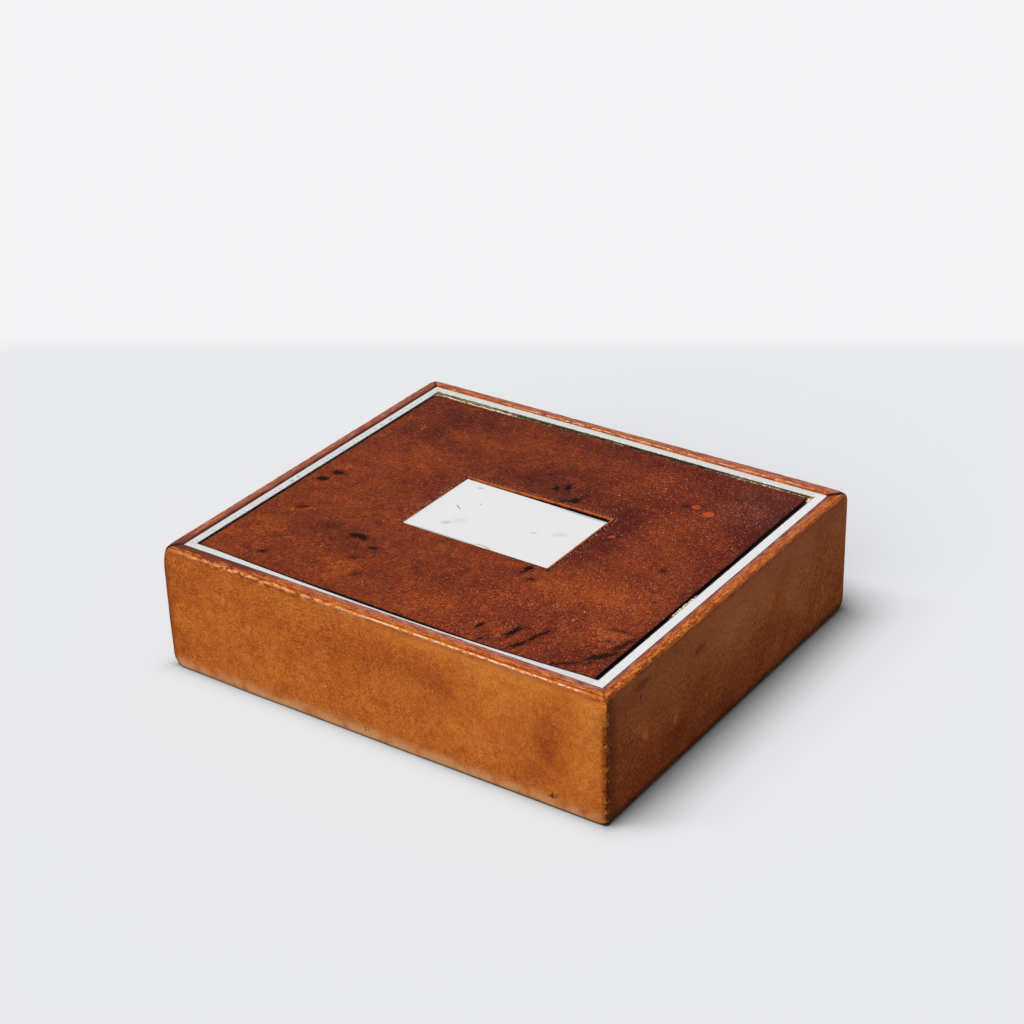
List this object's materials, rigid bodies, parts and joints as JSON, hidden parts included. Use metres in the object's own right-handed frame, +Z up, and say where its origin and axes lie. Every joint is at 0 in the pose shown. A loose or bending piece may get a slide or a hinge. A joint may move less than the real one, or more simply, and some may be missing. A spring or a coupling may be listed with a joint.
{
  "type": "lidded box",
  "caption": "Low rectangular leather-covered box with a lift-off lid set inside its rim: a metal-edged leather panel with a blank metal plaque inlaid in the middle.",
  "frame": {"origin": "centre of the underside, on the surface that the box stands on", "axes": "+X along the front to the right, +Y from front to back, +Z up"},
  "size_m": [0.19, 0.166, 0.05],
  "materials": {
    "side_leather": "waxed caramel calf, worn at the rim, fine pores and stains",
    "lid_leather": "waxed dark red-brown calf, mottled, with stains and scratches",
    "silver_plate": "satin silver plate over brass, fine scratches",
    "carcass_wood": "bare planed softwood",
    "lid_wood": "dark-stained wood with old glue",
    "lining_wood": "oiled cedar, open grain",
    "lining_suede": "tan suede, short nap",
    "base_cloth": "dark brown-black baize",
    "card": "grey-brown pulp card",
    "pin_brass": "dull drawn brass"
  },
  "bodies": {
    "box": {"bottom_board": "carcass_wood", "front_wall": "carcass_wood", "back_wall": "carcass_wood", "left_wall": "carcass_wood", "right_wall": "carcass_wood", "wall_pins": "pin_brass", "side_leather": "side_leather", "base_filler": "card", "base_cover": "base_cloth", "front_lining": "lining_wood", "back_lining": "lining_wood", "left_lining": "lining_wood", "right_lining": "lining_wood", "floor_lining": "lining_suede"},
    "lid": {"lid_board": "lid_wood", "lid_frame": "silver_plate", "frame_pins": "pin_brass", "lid_leather": "lid_leather", "lid_plaque": "silver_plate", "lid_lining": "lining_suede"}
  },
  "joints": [
    {"name": "lid_lift", "type": "slide", "parent": "box", "child": "lid", "axis": [0, 0, 1], "range_m": [0, 0.06]}
  ]
}
